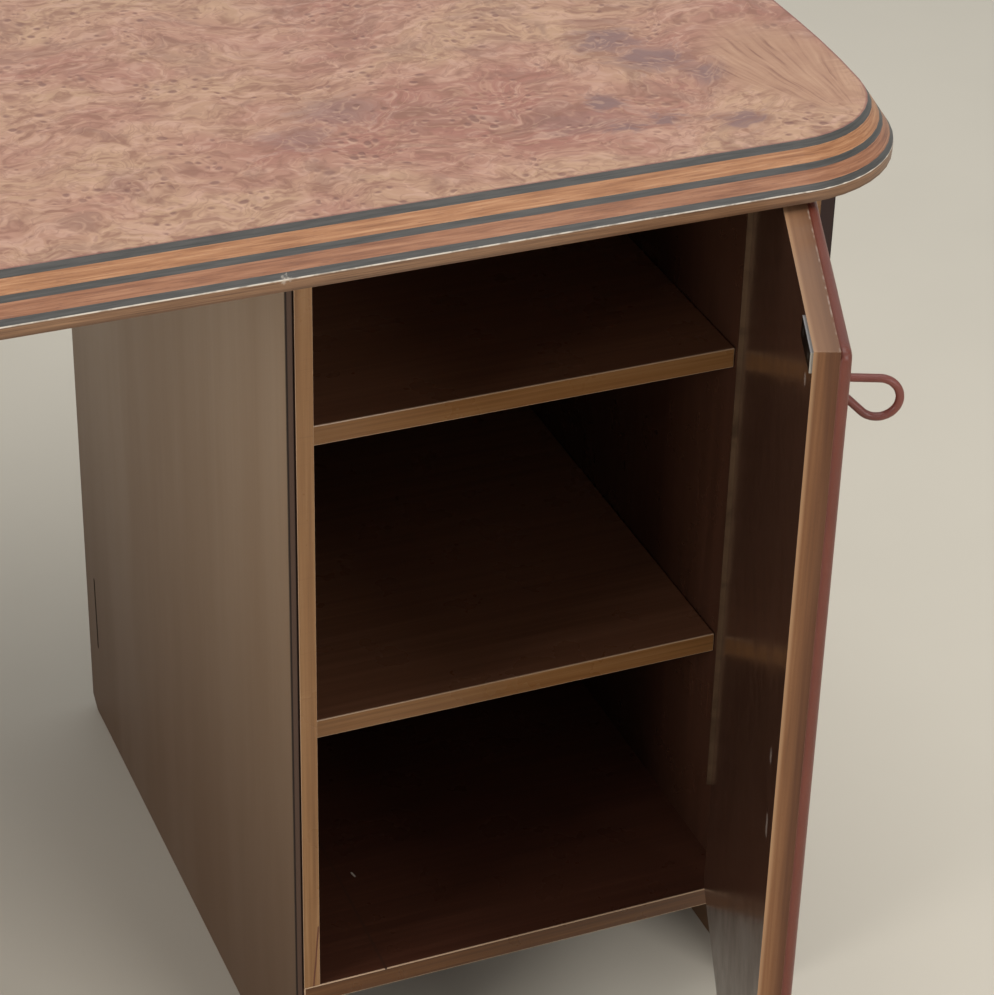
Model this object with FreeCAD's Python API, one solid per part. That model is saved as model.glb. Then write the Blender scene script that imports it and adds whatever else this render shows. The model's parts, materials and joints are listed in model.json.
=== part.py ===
import FreeCAD, Part
import math
import os

os.makedirs("parts", exist_ok=True)
Vector = FreeCAD.Vector
ORIGIN = Vector(0, 0, 0)
UP = Vector(0, 0, 1)
SIDEWAYS = Vector(1, 0, 0)
REARWARD = Vector(0, 1, 0)

# The desk as a whole
desk_length = 1980.0
desk_depth = 800.0
underside_height = 704.0
side_overhang = 0.5
front_overhang = 128.0

# Moulded edge of the top, widths in plan
corner_radius = 86.0
ease_radius = 780.0
ease_angle = 6.65
lip_height = 7.0
bevel_rise = 23.6
inlay_outer_width = 2.3
band_lower_width = 4.6
inlay_middle_width = 2.2
band_upper_width = 4.9
inlay_inner_width = 2.6

# Pedestal panels
pedestal_depth = 508.0
opening_width = 300.0
inner_gable_thickness = 5.0
inner_wall_thickness = 11.0
outer_wall_thickness = 26.0
outer_gable_thickness = 11.0
gable_setback = 1.6
back_thickness = 11.0
board_thickness = 14.0
toe_height = 96.0
foot_chamfer_run = 12.0
foot_chamfer_rise = 9.0

# Shelves and their pins
shelf_setback = 47.0
shelf_top_shares = (0.302, 0.673)
shelf_clearance = 0.5
shelf_rear_gap = 4.0
shelf_pin_radius = 2.5
shelf_pin_reach = 9.0
shelf_pin_bite = 7.0
shelf_pin_shares = (0.12, 0.88)

# Door and drawer fronts
door_angle = 68.8
front_thickness = 14.0
front_setback = 1.6
front_side_gap = 1.6
front_bottom_gap = 2.0
front_top_gap = 4.0
leather_thickness = 7.0
leather_crown = 0.6
leather_edge_radius = 3.6
leather_corner_radius = 7.0
leather_hinge_margin = 1.6

# Leather loop pull
cord_radius = 2.3
pull_radius = 11.5
pull_reach = 32.3
pull_half_gap = 5.2
pull_root = 4.5
pull_droop = 22.0
pull_inset = 18.4
pull_drop = 30.0

# Strip hinge
leaf_thickness = 1.0
leaf_gap = 0.4
leaf_projection = 3.1
knuckle_radius = 2.0
knuckle_clearance = 0.3
knuckle_front_gap = 0.1
knuckle_count = 17
hinge_pin_radius = 1.0
hinge_pin_clearance = 0.05
hinge_bottom_margin = 86.0
hinge_top_margin = 2.0

# Small screws of the hinge and the strike plate
small_screw_count = 8
small_head_radius = 2.0
small_shank_radius = 1.0
small_screw_bite = 9.0

# Door catch
strike_length = 40.0
strike_height = 12.0
strike_thickness = 1.0
strike_inset = 4.4
strike_drop = 3.0
strike_screw_shares = (0.2, 0.8)
catch_gap = 0.5
catch_depth = 15.0
catch_height = 20.0

# Drawers
drawer_count = 3
drawer_front_gap = 3.0
drawer_side_gap = 13.0
drawer_side_thickness = 11.0
drawer_height_share = 0.72
drawer_lift = 12.0
drawer_bottom_thickness = 6.0
drawer_rear_gap = 30.0

# Drawer runners
channel_height = 34.0
channel_depth = 10.0
channel_web = 2.0
runner_clearance = 0.8
runner_end_gap = 2.0

# Panel across the knee space
modesty_thickness = 15.0
modesty_height = 284.0
modesty_inset = 20.0

# Screws that hold the top to the pedestals
top_head_radius = 5.0
top_head_height = 3.0
top_shank_radius = 2.5
top_screw_bite = 12.0
top_screw_x_shares = (0.2, 0.8)
top_screw_y_shares = (0.2, 0.8)

# Length by which cutting tools run past the faces they open
overrun = 1.0

# Derived sizes of the top
edge_widths = (
    inlay_outer_width,
    band_lower_width,
    inlay_middle_width,
    band_upper_width,
    inlay_inner_width,
)
bevel_run = sum(edge_widths)
base_top = underside_height + lip_height
top_height = base_top + bevel_rise

# Derived positions across the right pedestal, from the middle of the desk
outer_gable_x = desk_length / 2 - side_overhang
outer_wall_x = outer_gable_x - outer_gable_thickness
opening_right = outer_wall_x - outer_wall_thickness
opening_left = opening_right - opening_width
inner_wall_x = opening_left - inner_wall_thickness
inner_gable_x = inner_wall_x - inner_gable_thickness
opening_span = (opening_left, opening_right)

# Derived heights and depths of the pedestals
bottom_top = toe_height + board_thickness
carcass_top_low = underside_height - board_thickness
opening_height = underside_height - bottom_top
back_front = pedestal_depth - back_thickness
shelf_rear = back_front - shelf_rear_gap

# Derived planes of the fronts
front_inner = front_setback + front_thickness
leather_front = front_setback - leather_thickness
front_low = bottom_top + front_bottom_gap
front_high = underside_height - front_top_gap
front_depth_span = (front_setback, front_inner)

# Derived plan of the hinge
leaf_joint = 2 * leaf_thickness + leaf_gap
door_right = opening_right - leaf_joint
door_left = opening_left + front_side_gap
hinge_x = opening_right - leaf_joint / 2
hinge_y = -knuckle_radius - knuckle_front_gap
hinge_low = front_low + hinge_bottom_margin
hinge_high = front_high - hinge_top_margin
hinge_point = Vector(hinge_x, hinge_y, 0)
knuckle_pitch = (hinge_high - hinge_low) / knuckle_count
leaf_front = hinge_y + knuckle_radius + knuckle_clearance
wall_leaf_span = (opening_right - leaf_thickness, opening_right)
door_leaf_span = (door_right, door_right + leaf_thickness)
screw_y = front_setback + front_thickness / 2

nodes = {}


def block(x, y, z):
    """Box between three pairs of limits."""
    corner = Vector(x[0], y[0], z[0])
    return Part.makeBox(x[1] - x[0], y[1] - y[0], z[1] - z[0], corner)


def mirrored(shape):
    """The same shape on the other side of the desk."""
    return shape.mirror(ORIGIN, SIDEWAYS)


def share_of(span, share):
    """Point at a share of the way along a pair of limits."""
    return span[0] + (span[1] - span[0]) * share


# Top

def corner(side, end, inset, height):
    """Points round one corner of the top, from the desk's end to its long edge."""
    ease = math.radians(ease_angle)
    edge_y = desk_depth - front_overhang if end > 0 else -front_overhang
    tight_y = edge_y - end * corner_radius
    ease_x = side * (desk_length / 2 - ease_radius)
    ease_y = tight_y - end * (ease_radius - corner_radius) * math.sin(ease)
    tight_x = ease_x + side * (ease_radius - corner_radius) * math.cos(ease)
    points = []
    for angle in (0, ease / 2, ease):
        reach = ease_radius - inset
        away = Vector(side * math.cos(angle), end * math.sin(angle), 0)
        points.append(Vector(ease_x, ease_y, height) + away * reach)
    for angle in ((ease + math.pi / 2) / 2, math.pi / 2):
        reach = corner_radius - inset
        away = Vector(side * math.cos(angle), end * math.sin(angle), 0)
        points.append(Vector(tight_x, tight_y, height) + away * reach)
    return points


def outline(inset, height):
    """Plan of the top, drawn in by inset, as a closed wire."""
    turns = []
    for side, end in ((1, 1), (-1, 1), (-1, -1), (1, -1)):
        points = corner(side, end, inset, height)
        turns.append(points if side == end else points[::-1])
    edges = []
    for index, (first, second, third, fourth, fifth) in enumerate(turns):
        following = turns[(index + 1) % len(turns)]
        edges.append(Part.Arc(first, second, third).toShape())
        edges.append(Part.Arc(third, fourth, fifth).toShape())
        edges.append(Part.makeLine(fifth, following[0]))
    return Part.Wire(edges)


def plate(inset, low, high):
    """Flat plate of the top's plan between two heights."""
    return Part.Face(outline(inset, low)).extrude(UP * (high - low))


def bevel_height(inset):
    """Height of the bevel at a distance in from the top's edge."""
    return base_top + bevel_rise * inset / bevel_run


def edge_ring(outer, inner):
    """One band of the bevelled edge, from its outer to its inner line."""
    low = bevel_height(outer)
    high = bevel_height(inner)
    ring = Part.makeLoft([outline(outer, low), outline(inner, high)], True, True)
    if outer > 0:
        ring = ring.fuse(plate(outer, base_top, low))
    return ring.cut(plate(inner, base_top - overrun, high + overrun)).removeSplitter()


ring_names = ("inlay_outer", "band_lower", "inlay_middle", "band_upper", "inlay_inner")
ring_outer = 0
for ring_name, ring_width in zip(ring_names, edge_widths):
    ring_inner = ring_outer + ring_width
    nodes["top_" + ring_name] = edge_ring(ring_outer, ring_inner)
    ring_outer = ring_inner
nodes["top_base"] = plate(0, underside_height, base_top)
nodes["top_field"] = plate(bevel_run, base_top, top_height)


# Pedestals

def gable(x):
    """Side panel down to the floor, eased at its rear foot."""
    panel = block(x, (gable_setback, pedestal_depth), (0, underside_height))
    foot = [
        Vector(x[0], pedestal_depth, 0),
        Vector(x[0], pedestal_depth - foot_chamfer_run, 0),
        Vector(x[0], pedestal_depth, foot_chamfer_rise),
        Vector(x[0], pedestal_depth, 0),
    ]
    return panel.cut(Part.Face(Part.makePolygon(foot)).extrude(SIDEWAYS * (x[1] - x[0])))


def pedestal_panels():
    """Panels of the right-hand pedestal by name."""
    depth_span = (0, back_front)
    wall_heights = (bottom_top, underside_height)
    gable_span = (inner_wall_x, outer_wall_x)
    return {
        "inner_gable": gable((inner_gable_x, inner_wall_x)),
        "inner_wall": block((inner_wall_x, opening_left), depth_span, wall_heights),
        "outer_wall": block((opening_right, outer_wall_x), depth_span, wall_heights),
        "outer_gable": gable((outer_wall_x, outer_gable_x)),
        "bottom": block(gable_span, depth_span, (toe_height, bottom_top)),
        "back": block(gable_span, (back_front, pedestal_depth), (foot_chamfer_rise, underside_height)),
        "carcass_top": block(
            opening_span, (shelf_setback, back_front), (carcass_top_low, underside_height)
        ),
    }


for panel_name, panel in pedestal_panels().items():
    nodes["right_" + panel_name] = panel
    nodes["left_" + panel_name] = mirrored(panel)


# Screws that hold the top

def top_screws():
    """Four screws up through the carcass top of the right-hand pedestal."""
    screws = []
    for x_share in top_screw_x_shares:
        for y_share in top_screw_y_shares:
            x = share_of(opening_span, x_share)
            y = share_of((shelf_setback, back_front), y_share)
            head_low = carcass_top_low - top_head_height
            shank_length = board_thickness + top_screw_bite
            head = Part.makeCylinder(top_head_radius, top_head_height, Vector(x, y, head_low), UP)
            foot = Vector(x, y, carcass_top_low)
            shank = Part.makeCylinder(top_shank_radius, shank_length, foot, UP)
            screws.append(head.fuse(shank))
    return screws


right_top_screws = top_screws()
all_top_screws = right_top_screws + [mirrored(screw) for screw in right_top_screws]
nodes["top_screws"] = Part.makeCompound(all_top_screws)
for bored in ("right_carcass_top", "left_carcass_top", "top_base", "top_field"):
    nodes[bored] = nodes[bored].cut(all_top_screws)


# Shelves on pins

def shelf_pins(shelf_low):
    """Four pins under one shelf, let into the walls."""
    height = shelf_low - shelf_pin_radius
    length = shelf_pin_bite + shelf_pin_reach
    pins = []
    for share in shelf_pin_shares:
        y = share_of((shelf_setback, shelf_rear), share)
        for start_x in (opening_left - shelf_pin_bite, opening_right - shelf_pin_reach):
            foot = Vector(start_x, y, height)
            pins.append(Part.makeCylinder(shelf_pin_radius, length, foot, SIDEWAYS))
    return pins


all_pins = []
for shelf_name, shelf_share in zip(("shelf_lower", "shelf_upper"), shelf_top_shares):
    shelf_high = bottom_top + opening_height * shelf_share
    shelf_low = shelf_high - board_thickness
    shelf_x = (opening_left + shelf_clearance, opening_right - shelf_clearance)
    nodes[shelf_name] = block(shelf_x, (shelf_setback, shelf_rear), (shelf_low, shelf_high))
    all_pins = all_pins + shelf_pins(shelf_low)
nodes["shelf_pins"] = Part.makeCompound(all_pins)
for bored in ("right_inner_wall", "right_outer_wall"):
    nodes[bored] = nodes[bored].cut(all_pins)


# Leather-clad fronts with loop pulls

def leather_pad(x, z):
    """Thin crowned leather pad with a rounded rim."""
    width = x[1] - x[0]
    middle = (x[0] + x[1]) / 2
    swell = width * width / (8 * leather_crown) + leather_crown / 2
    slab = block(x, (leather_front, front_setback), z)
    corners = [edge for edge in slab.Edges if abs(edge.tangentAt(edge.FirstParameter).y) > 0.5]
    slab = slab.makeFillet(leather_corner_radius, corners)
    foot = Vector(middle, leather_front + swell, z[0])
    pad = slab.common(Part.makeCylinder(swell, z[1] - z[0], foot, UP))
    rim_limit = front_setback - leather_edge_radius / 2
    rim = [edge for edge in pad.Edges if edge.BoundBox.YMax < rim_limit]
    return pad.makeFillet(leather_edge_radius, rim)


def pull_loop(x, z):
    """Loop of stiff cord that leaves the leather at x, z and droops a little."""
    droop = math.radians(pull_droop)
    reach = pull_reach - cord_radius - pull_radius
    distance = math.hypot(reach, pull_half_gap)
    lean = math.asin(pull_radius / distance) - math.atan2(pull_half_gap, reach)

    def place(out, across):
        away = out * math.cos(droop) + across * math.sin(droop)
        rise = across * math.cos(droop) - out * math.sin(droop)
        return Vector(x, leather_front - away, z + rise)

    def on_turn(angle):
        return place(reach + pull_radius * math.cos(angle), pull_radius * math.sin(angle))

    touch = math.pi / 2 + lean
    root_out = -pull_root * math.cos(lean)
    root_across = pull_half_gap - pull_root * math.sin(lean)
    start = place(root_out, root_across)
    finish = place(root_out, -root_across)
    path = Part.Wire([
        Part.makeLine(start, on_turn(touch)),
        Part.Arc(on_turn(touch), on_turn(touch / 2), on_turn(0)).toShape(),
        Part.Arc(on_turn(0), on_turn(-touch / 2), on_turn(-touch)).toShape(),
        Part.makeLine(on_turn(-touch), finish),
    ])
    section = Part.Wire(Part.makeCircle(cord_radius, start, on_turn(touch) - start))
    return path.makePipeShell([section], True, False)


# Strip hinge in the joint beside the door

def small_screws(face, inward, points):
    """Flush screws in a leaf or plate whose outer face passes through the points."""
    screws = []
    for point in points:
        head = Part.makeCylinder(small_head_radius, face, point, inward)
        neck = point + inward * face
        screws.append(head.fuse(Part.makeCylinder(small_shank_radius, small_screw_bite, neck, inward)))
    return screws


def hinge_leaf(x, rear, first, bore):
    """Leaf with every second knuckle, starting at the given one."""
    leaf = block(x, (leaf_front, rear), (hinge_low, hinge_high))
    for index in range(first, knuckle_count, 2):
        low = hinge_low + index * knuckle_pitch + knuckle_clearance / 2
        high = low + knuckle_pitch - knuckle_clearance
        foot = Vector(hinge_x, hinge_y, low)
        barrel = Part.makeCylinder(knuckle_radius, high - low, foot, UP)
        web = block(x, (hinge_y, leaf_front + leaf_thickness), (low, high))
        leaf = leaf.fuse([barrel, web])
    hole_foot = Vector(hinge_x, hinge_y, hinge_low - overrun)
    hole = Part.makeCylinder(bore, hinge_high - hinge_low + 2 * overrun, hole_foot, UP)
    return leaf.cut(hole).removeSplitter()


def hinge_screw_points(x, offset_share):
    """Places of the screws up one leaf."""
    pitch = (hinge_high - hinge_low) / small_screw_count
    heights = [hinge_low + pitch * (index + offset_share) for index in range(small_screw_count)]
    return [Vector(x, screw_y, height) for height in heights]


wall_screw_share = 0.35
door_screw_share = 0.65
wall_leaf = hinge_leaf(wall_leaf_span, front_inner, 0, hinge_pin_radius)
wall_screw_points = hinge_screw_points(wall_leaf_span[0], wall_screw_share)
wall_screws = small_screws(leaf_thickness, SIDEWAYS, wall_screw_points)
nodes["hinge_wall_leaf"] = wall_leaf.cut(wall_screws)
nodes["hinge_wall_screws"] = Part.makeCompound(wall_screws)
nodes["right_outer_wall"] = nodes["right_outer_wall"].cut(wall_screws)
pin_foot = Vector(hinge_x, hinge_y, hinge_low)
nodes["hinge_pin"] = Part.makeCylinder(hinge_pin_radius, hinge_high - hinge_low, pin_foot, UP)


# Door, made closed and then swung to its resting angle

door_span = (door_left, door_right)
front_heights = (front_low, front_high)
door_pull = pull_loop(door_left + pull_inset, front_high - pull_drop)
door_leather = leather_pad((door_left, door_right - leather_hinge_margin), front_heights)
door_screw_points = hinge_screw_points(door_leaf_span[1], door_screw_share)
door_screws = small_screws(leaf_thickness, -SIDEWAYS, door_screw_points)
door_leaf = hinge_leaf(
    door_leaf_span, front_inner + leaf_projection, 1, hinge_pin_radius + hinge_pin_clearance
)
strike_x = (door_left + strike_inset, door_left + strike_inset + strike_length)
strike_z = (front_high - strike_drop - strike_height, front_high - strike_drop)
strike_rear = front_inner + strike_thickness
strike_middle = (strike_z[0] + strike_z[1]) / 2
strike_points = [
    Vector(share_of(strike_x, share), strike_rear, strike_middle) for share in strike_screw_shares
]
strike_screws = small_screws(strike_thickness, -REARWARD, strike_points)
door_bores = door_screws + strike_screws
door_shapes = {
    "door_board": block(door_span, front_depth_span, front_heights).cut(door_bores),
    "door_leather": door_leather.cut(door_pull),
    "door_pull": door_pull,
    "hinge_door_leaf": door_leaf.cut(door_screws),
    "hinge_door_screws": Part.makeCompound(door_screws),
    "strike_plate": block(strike_x, (front_inner, strike_rear), strike_z).cut(strike_screws),
    "strike_screws": Part.makeCompound(strike_screws),
}
for door_name, door_shape in door_shapes.items():
    nodes[door_name] = door_shape.rotated(hinge_point, UP, door_angle)
catch_front = strike_rear + catch_gap
nodes["door_catch"] = block(
    strike_x, (catch_front, catch_front + catch_depth), (underside_height - catch_height, underside_height)
)


# Drawers in the left-hand pedestal, made on the right and mirrored

drawer_rear = back_front - drawer_rear_gap
drawer_front_height = (front_high - front_low - (drawer_count - 1) * drawer_front_gap) / drawer_count
drawer_outer = (opening_left + drawer_side_gap, opening_right - drawer_side_gap)
drawer_inner = (drawer_outer[0] + drawer_side_thickness, drawer_outer[1] - drawer_side_thickness)
drawer_front_span = (opening_left + front_side_gap, opening_right - front_side_gap)
runner_span = (front_inner + runner_end_gap, drawer_rear - runner_end_gap)


def runner_channel(middle):
    """Channel on the opening's left wall, at the height of a drawer's runner."""
    low = middle - channel_height / 2
    high = middle + channel_height / 2
    outer = block((opening_left, opening_left + channel_depth), runner_span, (low, high))
    slot_x = (opening_left + channel_web, opening_left + channel_depth)
    slot_z = (low + channel_web, high - channel_web)
    return outer.cut(block(slot_x, runner_span, slot_z))


def runner_bar(middle):
    """Bar on a drawer's left side that slides in the channel."""
    half_height = channel_height / 2 - channel_web - runner_clearance
    bar_x = (opening_left + channel_web + runner_clearance, drawer_outer[0])
    return block(bar_x, runner_span, (middle - half_height, middle + half_height))


def across_opening(shape):
    """The same shape on the opening's other side."""
    return shape.mirror(Vector((opening_left + opening_right) / 2, 0, 0), SIDEWAYS)


fixed_runners = []
for index in range(drawer_count):
    name = "drawer_%d_" % (index + 1)
    high = front_high - index * (drawer_front_height + drawer_front_gap)
    low = high - drawer_front_height
    box_low = low + drawer_lift
    box_high = box_low + drawer_front_height * drawer_height_share
    floor_high = box_low + drawer_bottom_thickness
    box_depth = (front_inner, drawer_rear)
    back_depth = (drawer_rear - drawer_side_thickness, drawer_rear)
    middle = (box_low + box_high) / 2
    left_side = block((drawer_outer[0], drawer_inner[0]), box_depth, (box_low, box_high))
    pull = pull_loop((opening_left + opening_right) / 2, (low + high) / 2)
    bar = runner_bar(middle)
    channel = runner_channel(middle)
    fixed_runners = fixed_runners + [channel, across_opening(channel)]
    drawer_shapes = {
        "front": block(drawer_front_span, front_depth_span, (low, high)),
        "leather": leather_pad(drawer_front_span, (low, high)).cut(pull),
        "pull": pull,
        "sides": Part.makeCompound([left_side, across_opening(left_side)]),
        "back": block(drawer_inner, back_depth, (floor_high, box_high)),
        "bottom": block(drawer_inner, box_depth, (box_low, floor_high)),
        "runners": Part.makeCompound([bar, across_opening(bar)]),
    }
    for piece, shape in drawer_shapes.items():
        nodes[name + piece] = mirrored(shape)
nodes["fixed_runners"] = mirrored(Part.makeCompound(fixed_runners))


# Panel across the knee space

modesty_rear = pedestal_depth - modesty_inset
nodes["modesty_panel"] = block(
    (-inner_gable_x, inner_gable_x),
    (modesty_rear - modesty_thickness, modesty_rear),
    (underside_height - modesty_height, underside_height),
)


# Origin at the middle of the foot of the whole desk

whole = Part.makeCompound(list(nodes.values())).optimalBoundingBox(False)
shift = Vector(-(whole.XMin + whole.XMax) / 2, -(whole.YMin + whole.YMax) / 2, -whole.ZMin)
for node_name, shape in nodes.items():
    placed = shape.translated(shift)
    print(node_name, placed.isValid(), len(placed.Solids), round(placed.Volume))
    placed.exportStep("parts/" + node_name + ".step")
print("shift", shift, "hinge", hinge_point + shift)
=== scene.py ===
import json
import math

import bmesh
import bpy
from mathutils import Matrix, Vector, noise


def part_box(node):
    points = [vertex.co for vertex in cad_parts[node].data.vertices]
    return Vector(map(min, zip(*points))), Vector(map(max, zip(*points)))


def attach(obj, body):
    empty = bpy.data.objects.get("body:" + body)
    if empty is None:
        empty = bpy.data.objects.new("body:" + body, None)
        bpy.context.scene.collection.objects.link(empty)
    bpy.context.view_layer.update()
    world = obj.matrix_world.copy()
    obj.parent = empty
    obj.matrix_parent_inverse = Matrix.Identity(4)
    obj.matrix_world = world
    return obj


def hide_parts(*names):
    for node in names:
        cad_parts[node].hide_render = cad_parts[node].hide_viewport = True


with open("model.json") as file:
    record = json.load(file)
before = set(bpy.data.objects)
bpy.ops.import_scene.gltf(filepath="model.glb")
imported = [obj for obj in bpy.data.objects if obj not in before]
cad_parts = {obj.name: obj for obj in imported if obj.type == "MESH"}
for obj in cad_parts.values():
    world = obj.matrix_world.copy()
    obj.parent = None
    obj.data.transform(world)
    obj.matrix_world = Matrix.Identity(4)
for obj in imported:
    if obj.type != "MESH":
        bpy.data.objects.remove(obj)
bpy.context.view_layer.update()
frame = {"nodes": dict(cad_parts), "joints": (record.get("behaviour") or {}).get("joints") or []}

# The photograph's camera, in metres and degrees
CAMERA_PLACE = Vector((0.1512, -1.6579, 1.4587))
CAMERA_YAW = 22.96
CAMERA_PITCH = 32.06
CAMERA_ROLL = 1.47
CAMERA_LENS = 110.85
CAMERA_SENSOR = 36.0

# Sizes of the top's moulded edge
CORNER_RADIUS = 0.086
EASE_RADIUS = 0.780
EASE_ANGLE = math.radians(6.65)
BEVEL_RUN = 0.0166
# Pale arris on the lip and inlay, painted as a highlight: its width, and the share of it at full strength
ARRIS_HIGHLIGHT_WIDTH = 0.0007
ARRIS_HIGHLIGHT_SHARE = 0.4
FIELD_RIM = (0.0006, 0.0018)
# Height over which painted shade darkens the lip towards its foot
LIP_SHADE = (0.0004, 0.0024)
CHIP = (0.594, -0.3245, 0.711)
CHIP_REACH = (0.0046, 0.0072)
CHIP_ROUGHNESS = 0.008

# Rounding of the cabinet work's arrises
ARRIS = 0.0007
FINE_ARRIS = 0.00035
DOOR_ARRIS = 0.0010
ARRIS_SEGMENTS = 2
ARRIS_LEAST_ANGLE = math.radians(35.0)
FLAT_ANGLE = math.radians(1.0)
WELD_DISTANCE = 0.00001

# Edges of the gables and of the clad boards, in from an arris
STRIP_MARGIN = (0.0014, 0.0006)
STRIP_ARRIS = (0.0008, 0.0022)
CLAD_SHADE = 0.0095
CLAD_HIGHLIGHT_BAND = (0.0030, 0.0006)
CLAD_SEAM = (0.0007, 0.0011)

# Leather fronts
LEATHER_RIM = 0.0044
LEATHER_CORNER = 0.007
LEATHER_CROWN = 0.0004
LEATHER_CROWN_POWER = 4
LEATHER_RIPPLE = 0.00022
LEATHER_CELLS = 44
LEATHER_RIM_SHARES = (0.0, 0.04, 0.15, 0.32, 0.55, 0.8, 1.0, 1.5)
LEATHER_RIPPLE_SCALE = 14
LEATHER_RIPPLE_SEED = 50
LEATHER_WELD = 0.000005

# Loop pulls
CORD_RADIUS = 0.0023
PULL_RADIUS = 0.0115
PULL_REACH = 0.0323
PULL_HALF_GAP = 0.0052
PULL_ROOT = 0.0040
PULL_DROOP = math.radians(22.0)
PULL_SEGMENTS = 20
PULL_STEPS = 72
CORD_CREASE = 0.025
CORD_SLACK = 0.01
CORD_CREASE_SCALE = 900

# Places taken from the frame
top_low, top_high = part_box("top_base")
TOP_HALF = Vector(((top_high[0] - top_low[0]) / 2, (top_high[1] - top_low[1]) / 2))
TOP_MIDDLE = Vector(((top_high[0] + top_low[0]) / 2, (top_high[1] + top_low[1]) / 2))
LIP_TOP = top_high[2]
LIP_FOOT = top_low[2]

door_joint = next(joint for joint in frame["joints"] if joint["name"] == "door_hinge")
DOOR_ANGLE = -math.radians(door_joint["range_deg"][0])
HINGE = Vector(door_joint["pos_m"])
OPEN_TURN = (
    Matrix.Translation(HINGE) @ Matrix.Rotation(DOOR_ANGLE, 4, "Z") @ Matrix.Translation(-HINGE)
)
STRAIGHT = Matrix.Identity(4)
SQUARE_AXES = ((1.0, 0.0, 0.0), (0.0, 1.0, 0.0), (0.0, 0.0, 1.0))
OPEN_AXES = [OPEN_TURN.to_3x3() @ Vector(axis) for axis in SQUARE_AXES]
TO_SITTER = (0.0, -1.0, 0.0)


def closed_box(node, turn):
    """Box of a node in the frame in which its front is shut."""
    back = turn.inverted()
    points = [back @ vertex.co for vertex in frame["nodes"][node].data.vertices]
    low = Vector([min(point[axis] for point in points) for axis in range(3)])
    high = Vector([max(point[axis] for point in points) for axis in range(3)])
    return low, high


def srgb(red, green, blue):
    """Linear colour of an 8-bit screen colour."""
    shares = [channel / 255 for channel in (red, green, blue)]
    linear = [c / 12.92 if c <= 0.04045 else ((c + 0.055) / 1.055) ** 2.4 for c in shares]
    return (*linear, 1.0)


# Shader building

class Graph:
    """A material under construction, with short names for the nodes it uses."""

    def __init__(self, name, roughness=0.4, **sockets):
        self.material = bpy.data.materials.new(name)
        self.material.use_nodes = True
        self.tree = self.material.node_tree
        self.shader = self.tree.nodes["Principled BSDF"]
        self.shader.inputs["Roughness"].default_value = roughness
        for socket, value in sockets.items():
            self.shader.inputs[socket.replace("_", " ")].default_value = value

    def node(self, kind, inputs=(), **settings):
        made = self.tree.nodes.new(kind)
        for key, value in settings.items():
            setattr(made, key, value)
        for key, value in dict(inputs).items():
            if isinstance(value, bpy.types.NodeSocket):
                self.tree.links.new(value, made.inputs[key])
            else:
                made.inputs[key].default_value = value
        return made

    def place(self):
        """The surface point in the piece's own frame."""
        return self.node("ShaderNodeTexCoord").outputs["Object"]

    def normal(self):
        """The way the surface faces in the piece's own frame, which turns with its body."""
        return self.node("ShaderNodeTexCoord").outputs["Normal"]

    def vector(self, operation, first, second=(0, 0, 0)):
        inputs = {0: first}
        if operation == "SCALE":
            inputs["Scale"] = second
        else:
            inputs[1] = second
        made = self.node("ShaderNodeVectorMath", inputs, operation=operation)
        return made.outputs["Value" if operation in ("DOT_PRODUCT", "LENGTH") else "Vector"]

    def math(self, operation, first, second=0.0, clamp=False):
        inputs = {0: first, 1: second}
        made = self.node("ShaderNodeMath", inputs, operation=operation, use_clamp=clamp)
        return made.outputs["Value"]

    def parts(self, vector):
        return self.node("ShaderNodeSeparateXYZ", {0: vector}).outputs

    def join(self, x, y, z):
        return self.node("ShaderNodeCombineXYZ", {0: x, 1: y, 2: z}).outputs["Vector"]

    def noise(self, vector, scale, detail=4.0, roughness=0.55, distortion=0.0, colour=False):
        inputs = {
            "Vector": vector, "Scale": scale, "Detail": detail,
            "Roughness": roughness, "Distortion": distortion,
        }
        made = self.node("ShaderNodeTexNoise", inputs)
        return made.outputs["Color" if colour else "Fac"]

    def cell_edges(self, vector, scale):
        """Distance to the nearest border between round cells."""
        inputs = {"Vector": vector, "Scale": scale}
        made = self.node("ShaderNodeTexVoronoi", inputs, feature="DISTANCE_TO_EDGE")
        return made.outputs["Distance"]

    def spots(self, vector, scale, largest):
        """Round spots of uneven size, one at most in each cell."""
        made = self.node("ShaderNodeTexVoronoi", {"Vector": vector, "Scale": scale})
        size = self.math("MULTIPLY", self.parts(made.outputs["Color"])["X"], largest)
        return self.math("SUBTRACT", size, made.outputs["Distance"])

    def step(self, value, low, high, out_low, out_high):
        """Smooth change from one result to another while the value goes from low to high."""
        inputs = {"Value": value, 1: low, 2: high, 3: out_low, 4: out_high}
        made = self.node("ShaderNodeMapRange", inputs, interpolation_type="SMOOTHSTEP")
        return made.outputs["Result"]

    def rise(self, value, low, high, most=1.0):
        """Rises smoothly from nothing to its most while the value goes from low to high."""
        return self.step(value, low, high, 0.0, most)

    def fade(self, value, low, high, most=1.0):
        """Falls smoothly from its most to nothing while the value goes from low to high."""
        return self.step(value, low, high, most, 0.0)

    def ramp(self, value, stops):
        """Colour that runs through the stops, each a position and a colour."""
        made = self.node("ShaderNodeValToRGB", {"Fac": value})
        elements = made.color_ramp.elements
        while len(elements) < len(stops):
            elements.new(0.5)
        for element, (position, colour) in zip(elements, stops):
            element.position = position
            element.color = colour
        return made.outputs["Color"]

    def mix(self, share, first, second):
        """First colour, giving way to the second by the share; the node numbers its colour sockets."""
        inputs = {0: share, 6: first, 7: second}
        return self.node("ShaderNodeMix", inputs, data_type="RGBA").outputs[2]

    def set(self, socket, value):
        self.tree.links.new(value, self.shader.inputs[socket])

    def bump(self, height, distance, strength=1.0, base=None):
        inputs = {"Height": height, "Distance": distance, "Strength": strength}
        if base is not None:
            inputs["Normal"] = base
        result = self.node("ShaderNodeBump", inputs).outputs["Normal"]
        self.set("Normal", result)
        return result


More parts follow.
